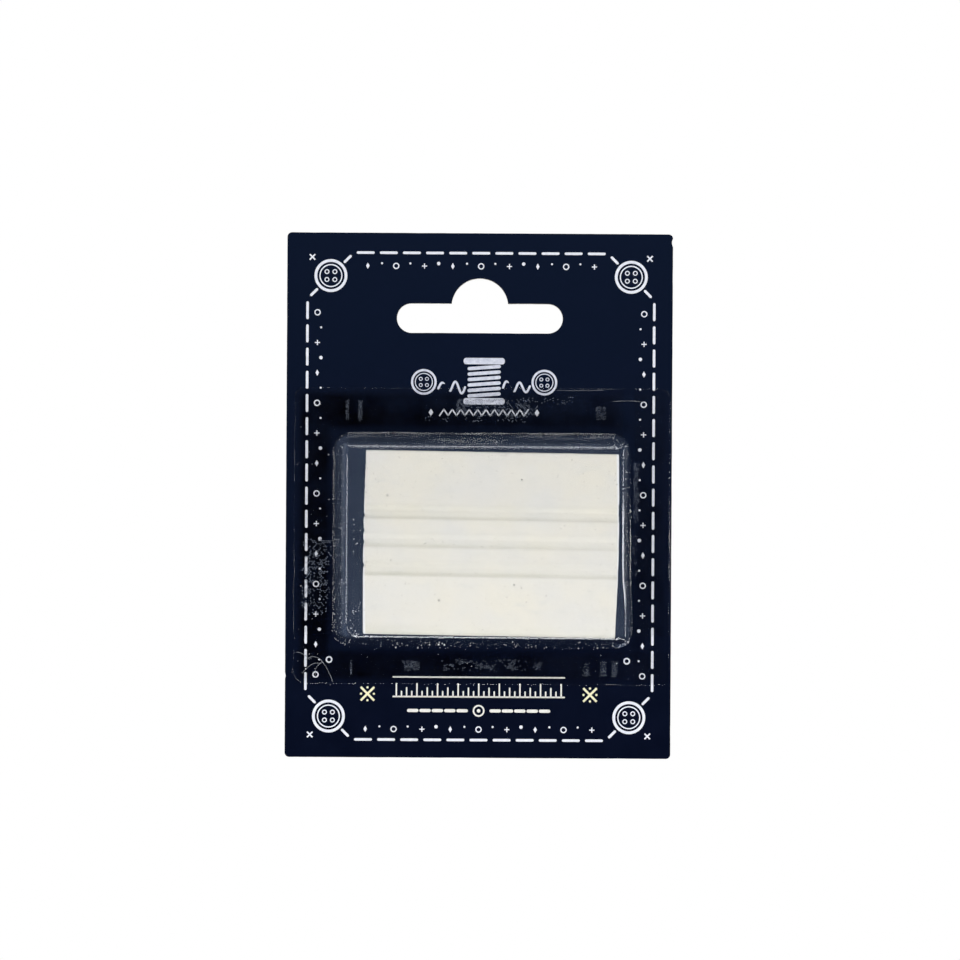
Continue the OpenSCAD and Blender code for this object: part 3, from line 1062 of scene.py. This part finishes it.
# Light creases in the sealed film, as thin flat strips
def build_creases(mat):
    rng = np.random.default_rng(81)
    t = np.linspace(0, 1, 40)[:, None]
    lines = []
    curves = (
        ((-33.3, -66.4), (-30.6, -64.2), (-28.2, -70.6), 0.12),
        ((-34.0, -69.0), (-32.0, -66.5), (-30.6, -67.3), 0.1),
        ((-31.5, -69.8), (-31.9, -67.8), (-30.3, -67.0), 0.1),
        ((-35.2, -65.0), (-34.0, -65.0), (-32.6, -66.4), 0.08),
        ((15.0, -13.9), (19.0, -14.0), (24.0, -13.8), 0.05),
        ((26.0, -16.0), (29.5, -15.7), (32.0, -16.1), 0.07),
    )
    for a, b, c, width in curves:
        a, b, c = (np.array(v) for v in (a, b, c))
        line = a * (1 - t) ** 2 + 2 * b * t * (1 - t) + c * t ** 2
        line += rng.uniform(-0.03, 0.03, line.shape)
        lines.append(ribbon(line, width))
    points, faces = plates_on_card(lines, *CREASED)
    obj = mesh_piece("film_creases", points, faces, mat)
    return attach(obj, "pack")


# Chalk dust: small angular grains on the film, most of them on the lower and left walls
def build_dust(mat, film):
    rng = np.random.default_rng(91)
    mesh = film.data
    count = len(mesh.polygons) // 2
    centres = np.array([tuple(p.center) for p in mesh.polygons][:count]) / MM
    x, z = centres[:, 0] - FLANGE_X, centres[:, 2] - POCKET_Z
    high = FLANGE_BACK - centres[:, 1]
    wall = (high > 0.4) & (high < 7.8)
    flat = high > 7.8
    zones = (
        (wall & (z < -18.0), 170, 0.09),
        (wall & (z < -18.0) & (np.abs(x + 12.0) < 5.0), 30, 0.16),
        (wall & (x < -25.6) & (z < 10), 130, 0.08),
        (wall & (x > 24.5), 80, 0.08),
        (wall & (z > 17.6), 40, 0.08),
        (flat & (x > -24.5) & (x < -22.3) & (z < 6), 50, 0.08),
        (flat & (x > -24.5) & (x < -22.6) & (z < -10), 50, 0.1),
        ((high < 0.4) & (x < -29.5), 30, 0.08),
        ((high < 0.4) & (z < -22.0), 26, 0.08),
    )
    points, faces = [], []
    for zone, number, largest in zones:
        for k in rng.choice(np.flatnonzero(zone), number):
            face = mesh.polygons[k]
            corners = np.array([tuple(mesh.vertices[v].co) for v in face.vertices]) / MM
            share = rng.dirichlet(np.ones(len(corners)))
            size = 0.03 + largest * rng.uniform() ** 2
            centre = share @ corners + np.array(tuple(face.normal)) * size * 0.3
            centre[1] = max(centre[1], POCKET_FRONT + size * 1.3)
            base = len(points)
            points.extend((centre + np.array(CORNERS) * (rng.uniform(0.5, 1.2, (6, 1)) * size)).tolist())
            faces.extend([(base + a, base + b, base + c) for a, b, c in OCTAHEDRON])
    obj = mesh_piece("chalk_dust", points, faces, mat)
    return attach(obj, "pack")


# Grains of chalk: the plate's colour, dull
def dust_material():
    mat, tree = new_material("dust")
    shade = spread(tree, grain(tree, 0.4, 2.0), 0.3, 0.7)
    colour = tint(tree, shade, paint(225, 226, 232), paint(250, 250, 250))
    return end_surface(mat, {"Base Color": colour, "Roughness": 0.9})


# The camera of the photograph: in front of the card, level, a little rolled
def build_camera():
    data = bpy.data.cameras.new("camera")
    data.sensor_width = 36
    data.lens = CAMERA_LENS
    data.clip_start = 0.001
    data.clip_end = 10
    cam = new_object("camera", data)
    cam.location = [v * MM for v in CAMERA_PLACE]
    cam.rotation_euler = (math.radians(90), math.radians(CAMERA_ROLL), 0)
    bpy.context.scene.camera = cam


# A soft lamp that looks at the middle of the card from a distance in metres
def lamp(name, azimuth, elevation, far, size, watts, roll=0.0):
    data = bpy.data.lights.new(name, "AREA")
    data.shape = "RECTANGLE"
    data.size, data.size_y = size
    data.energy = watts
    obj = new_object(name, data)
    a, e = math.radians(azimuth), math.radians(elevation)
    aim = Vector((0, -4 * MM, -36 * MM))
    back = Vector((math.sin(a) * math.cos(e), -math.cos(a) * math.cos(e), math.sin(e)))
    obj.location = aim + back * far
    rolled = Quaternion((0, 0, 1), math.radians(roll))
    obj.rotation_euler = ((-back).to_track_quat("-Z", "Y") @ rolled).to_euler()
    obj.visible_camera = False


# Each lamp by its azimuth and elevation in degrees, distance, width and height, watts and roll
def build_lamps():
    lamp("lamp_left", -42, -3.5, 0.55, (0.09, 0.2), 0.39)
    lamp("lamp_right", 42, -3.5, 0.55, (0.09, 0.2), 0.5)
    lamp("lamp_spot", 48, -3.6, 0.55, (0.28, 0.05), 0.36)
    lamp("lamp_low", 3, -40, 0.5, (0.36, 0.1), 1.4)
    lamp("lamp_corner", -28, -30, 0.5, (0.3, 0.05), 0.2, -45)
    lamp("lamp_brow", 0, 38, 0.5, (0.3, 0.05), 0.14)
    lamp("lamp_top", 0, 62, 0.5, (0.4, 0.14), 1.0)
    lamp("lamp_back_left", 145, 30, 0.6, (0.4, 0.4), 1.9)
    lamp("lamp_back_right", 215, 30, 0.6, (0.4, 0.4), 1.9)


# White surroundings that the camera sees, soft fill, and dark in front for mirrored rays
def build_world():
    world = bpy.data.worlds.new("surroundings")
    bpy.context.scene.world = world
    world.use_nodes = True
    tree = world.node_tree
    tree.nodes.clear()

    def glow(strength):
        return add(tree, "Background", {"Color": (1, 1, 1, 1), "Strength": strength}).outputs[0]

    path = add(tree, "LightPath").outputs
    toward = add(tree, "TexCoord").outputs["Generated"]
    parts = add(tree, "SeparateXYZ", {0: toward}).outputs
    shade = spread(tree, parts[1], -0.75, 0.3, 0.01, 0.45)
    shade = times(tree, shade, spread(tree, parts[2], -0.35, 0.1, 0.03, 1.0))
    soft = spread(tree, calc(tree, "ABSOLUTE", parts[0]), 0.8, 1.0, 0.05, 1.2)
    unseen = mix(tree, path["Is Glossy Ray"], glow(soft), glow(shade))
    seen = calc(tree, "MAXIMUM", path["Is Camera Ray"], path["Is Transmission Ray"])
    add(tree, "OutputWorld", {"Surface": mix(tree, seen, unseen, glow(1.0))})


# A pale round floor under the hanging card, fading out at its rim, that keeps the shadow
def build_floor():
    mat, tree = new_material("floor")
    place = add(tree, "TexCoord").outputs["Object"]
    away = add(tree, "VectorMath", {0: place}, operation="LENGTH").outputs["Value"]
    speck = spread(tree, grain(tree, 40.0, 2.0), 0.2, 0.8)
    colour = tint(tree, speck, paint(248, 248, 248), paint(251, 251, 251))
    matte = add(tree, "BsdfDiffuse", {"Color": colour}).outputs[0]
    clear = add(tree, "BsdfTransparent").outputs[0]
    end_with(mat, mix(tree, spread_mm(tree, away, FLOOR_FADE, FLOOR_R), matte, clear))
    points = [(x, y, 0) for x, y in circle(0, 0, FLOOR_R, 96)]
    floor = mesh_piece("floor", points, [tuple(range(len(points)))], mat)
    floor.location = (0, -FLOOR_DROP * MM, -FLOOR_DROP * MM)
    floor.visible_shadow = False
    floor.visible_glossy = False


def build_all():
    board = board_material()
    white = ink_material("ink_white", paint(238, 240, 247), paint(214, 218, 230))
    silver = ink_material("ink_silver", paint(222, 225, 236), paint(186, 191, 208))
    cream = ink_material("ink_cream", paint(240, 239, 232), paint(216, 216, 212))
    yellow = ink_material("ink_yellow", paint(243, 240, 205), paint(222, 219, 180))
    build_card(board)
    build_print("print_border", border_shapes(), white, INK_T)
    build_print("print_small_marks", scatter_shapes(), white, INK_T)
    build_print("print_spool", ornament_shapes(), silver, THICK_INK_T)
    build_print("print_zigzag", zigzag_shapes(), white, INK_T)
    build_print("print_tape", tape_shapes(), cream, INK_T)
    build_print("print_cross_stitch", yellow_shapes(), yellow, THICK_INK_T)
    build_lacquer(milky_material("lacquer", (0.55, 0.65, 0.85, 1), 0.0, 0.0012, 5.0))
    build_press_marks(milky_material("press_marks", (0.5, 0.58, 0.75, 1), 0.08, 0.28, 1.2))
    build_creases(milky_material("creases", (0.7, 0.74, 0.82, 1), 0.1, 0.35, 1.5))
    film = build_film(film_material())
    build_dust(dust_material(), film)
    build_chalk(chalk_material())
    build_floor()
    build_lamps()
    build_world()
    build_camera()


build_all()
bpy.context.scene.view_settings.view_transform = "Standard"
